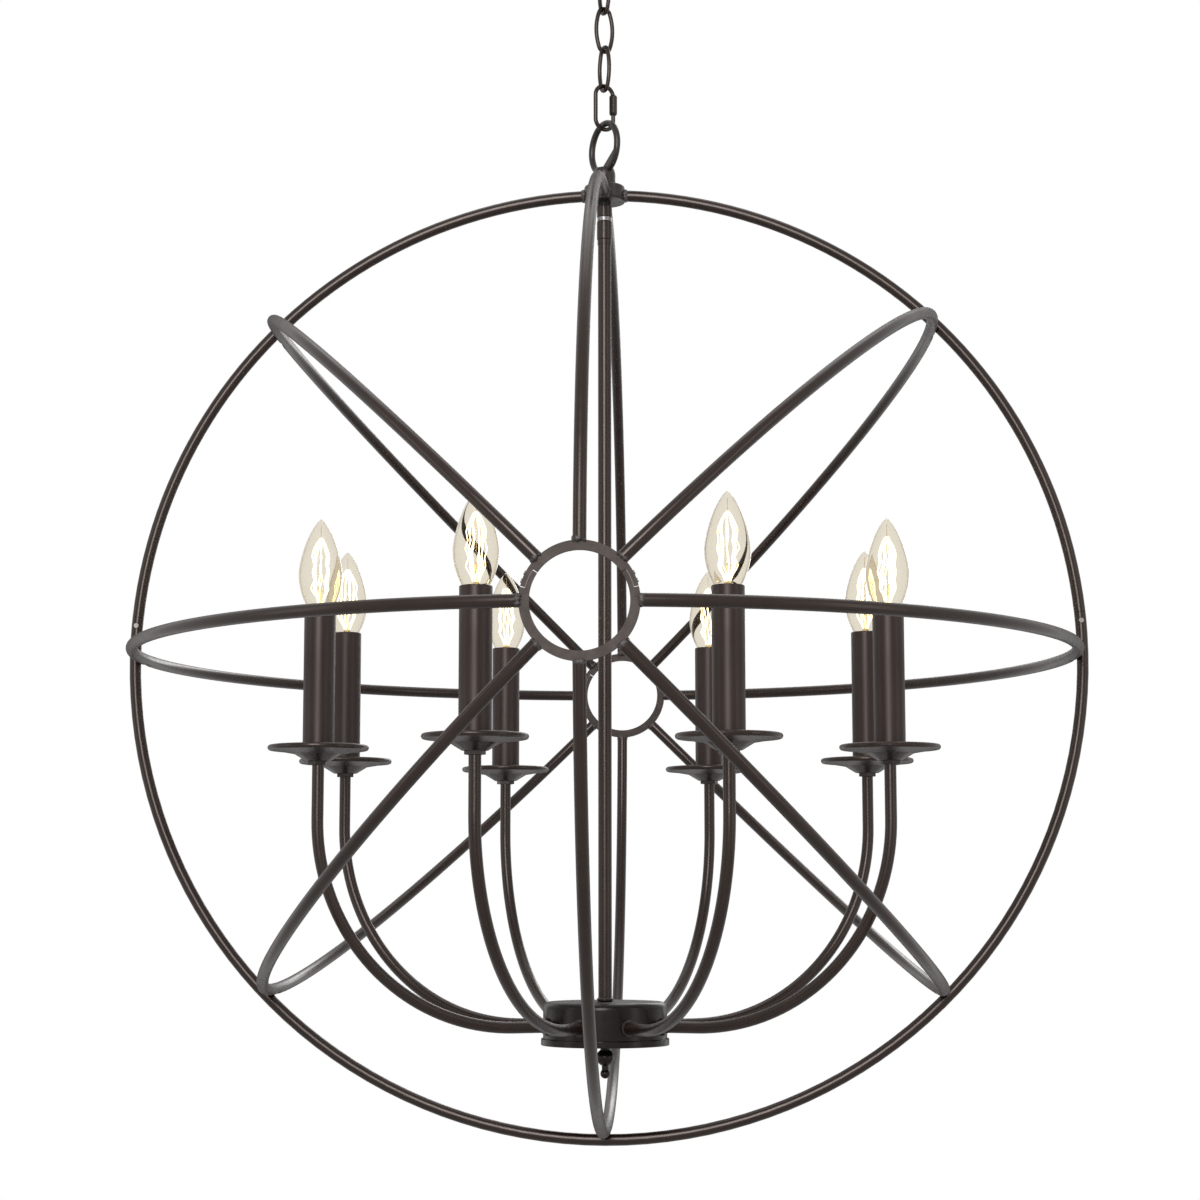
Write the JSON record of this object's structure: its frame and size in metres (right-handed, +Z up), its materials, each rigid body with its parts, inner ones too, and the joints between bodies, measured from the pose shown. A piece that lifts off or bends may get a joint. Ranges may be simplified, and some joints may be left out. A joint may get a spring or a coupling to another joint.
{
  "type": "orb chandelier",
  "caption": "Round cage chandelier of bent bars with candle lights on curved arms, hung by a short chain from a ceiling canopy.",
  "frame": {"origin": "middle of the ceiling bracket's slots, on the ceiling plane", "axes": "+Z up; the big outer ring stands in the XZ plane and the front pole ring faces -Y"},
  "size_m": [0.8, 0.7804, 1.0467],
  "materials": {
    "dark_bronze": "satin dark bronze paint",
    "bright_nickel": "bright nickel",
    "zinc_steel": "zinc plate",
    "screw_steel": "blackened",
    "candle_sleeve": "satin dark bronze paint",
    "socket_plastic": "matt",
    "bulb_glass": "clear, faint amber"
  },
  "bodies": {
    "ceiling_mount": {"ceiling_bracket": "zinc_steel", "ceiling_pipe": "zinc_steel", "ceiling_pipe_nuts": "zinc_steel", "ceiling_loop": "dark_bronze"},
    "canopy": {"canopy": "dark_bronze", "canopy_collar": "dark_bronze"},
    "chain_link_3": {"chain_link_3": "dark_bronze"},
    "chain_link_2": {"chain_link_2": "dark_bronze"},
    "chain_link_1": {"chain_link_1": "dark_bronze"},
    "quick_link": {"quick_link": "dark_bronze"},
    "quick_link_nut": {"quick_link_nut": "dark_bronze"},
    "chandelier": {"top_loop": "dark_bronze", "hub_pipe": "bright_nickel", "top_hub": "dark_bronze", "upper_coupling": "dark_bronze", "lower_coupling": "dark_bronze", "centre_rod": "dark_bronze", "rod_collar": "dark_bronze", "hub_can": "dark_bronze", "hub_base": "dark_bronze", "finial": "dark_bronze", "arm_1": "dark_bronze", "arm_2": "dark_bronze", "arm_3": "dark_bronze", "arm_4": "dark_bronze", "arm_5": "dark_bronze", "arm_6": "dark_bronze", "arm_7": "dark_bronze", "arm_8": "dark_bronze", "arm_ferrules": "dark_bronze", "arm_nuts": "dark_bronze", "drip_pans": "dark_bronze", "candle_sleeves": "candle_sleeve", "lamp_sockets": "socket_plastic", "ring_upper_left": "dark_bronze", "ring_upper_right": "dark_bronze", "ring_lower": "dark_bronze", "front_ring_upper": "dark_bronze", "front_ring_lower": "dark_bronze", "back_ring_upper": "dark_bronze", "back_ring_lower": "dark_bronze", "top_arc_front": "dark_bronze", "top_arc_back": "dark_bronze", "bottom_arc": "dark_bronze", "diagonal_upper_left": "dark_bronze", "diagonal_upper_right": "dark_bronze", "diagonal_lower_left": "dark_bronze", "diagonal_lower_right": "dark_bronze", "side_arc_left": "dark_bronze", "side_arc_right": "dark_bronze", "cage_screws": "screw_steel"},
    "bulb_1": {"bulb_1": "bulb_glass"},
    "bulb_2": {"bulb_2": "bulb_glass"},
    "bulb_3": {"bulb_3": "bulb_glass"},
    "bulb_4": {"bulb_4": "bulb_glass"},
    "bulb_5": {"bulb_5": "bulb_glass"},
    "bulb_6": {"bulb_6": "bulb_glass"},
    "bulb_7": {"bulb_7": "bulb_glass"},
    "bulb_8": {"bulb_8": "bulb_glass"}
  },
  "joints": [
    {"name": "canopy_slide", "type": "slide", "parent": "ceiling_mount", "child": "canopy", "axis": [0, 0, -1], "range_m": [0, 0.025]},
    {"name": "chain_link_3_swing", "type": "hinge", "parent": "ceiling_mount", "child": "chain_link_3", "pos_m": [0, 0, -0.056], "axis": [0.8387, 0.5446, 0], "range_deg": [-35, 35]},
    {"name": "chain_link_2_swing", "type": "hinge", "parent": "chain_link_3", "child": "chain_link_2", "pos_m": [0, 0, -0.08968], "axis": [0.5446, -0.8387, 0], "range_deg": [-35, 35]},
    {"name": "chain_link_1_swing", "type": "hinge", "parent": "chain_link_2", "child": "chain_link_1", "pos_m": [0, 0, -0.12408], "axis": [0.8387, 0.5446, 0], "range_deg": [-35, 35]},
    {"name": "quick_link_swing", "type": "hinge", "parent": "chain_link_1", "child": "quick_link", "pos_m": [0, 0, -0.15848], "axis": [0.5446, -0.8387, 0], "range_deg": [-35, 35]},
    {"name": "quick_link_nut_slide", "type": "slide", "parent": "quick_link", "child": "quick_link_nut", "axis": [0, 0, -1], "range_m": [0, 0.005]},
    {"name": "chandelier_swing", "type": "hinge", "parent": "quick_link", "child": "chandelier", "pos_m": [0, 0, -0.193], "axis": [0.8387, 0.5446, 0], "range_deg": [-35, 35]},
    {"name": "bulb_1_lift", "type": "slide", "parent": "chandelier", "child": "bulb_1", "axis": [0, 0, 1], "range_m": [0, 0.03]},
    {"name": "bulb_2_lift", "type": "slide", "parent": "chandelier", "child": "bulb_2", "axis": [0, 0, 1], "range_m": [0, 0.03]},
    {"name": "bulb_3_lift", "type": "slide", "parent": "chandelier", "child": "bulb_3", "axis": [0, 0, 1], "range_m": [0, 0.03]},
    {"name": "bulb_4_lift", "type": "slide", "parent": "chandelier", "child": "bulb_4", "axis": [0, 0, 1], "range_m": [0, 0.03]},
    {"name": "bulb_5_lift", "type": "slide", "parent": "chandelier", "child": "bulb_5", "axis": [0, 0, 1], "range_m": [0, 0.03]},
    {"name": "bulb_6_lift", "type": "slide", "parent": "chandelier", "child": "bulb_6", "axis": [0, 0, 1], "range_m": [0, 0.03]},
    {"name": "bulb_7_lift", "type": "slide", "parent": "chandelier", "child": "bulb_7", "axis": [0, 0, 1], "range_m": [0, 0.03]},
    {"name": "bulb_8_lift", "type": "slide", "parent": "chandelier", "child": "bulb_8", "axis": [0, 0, 1], "range_m": [0, 0.03]}
  ]
}
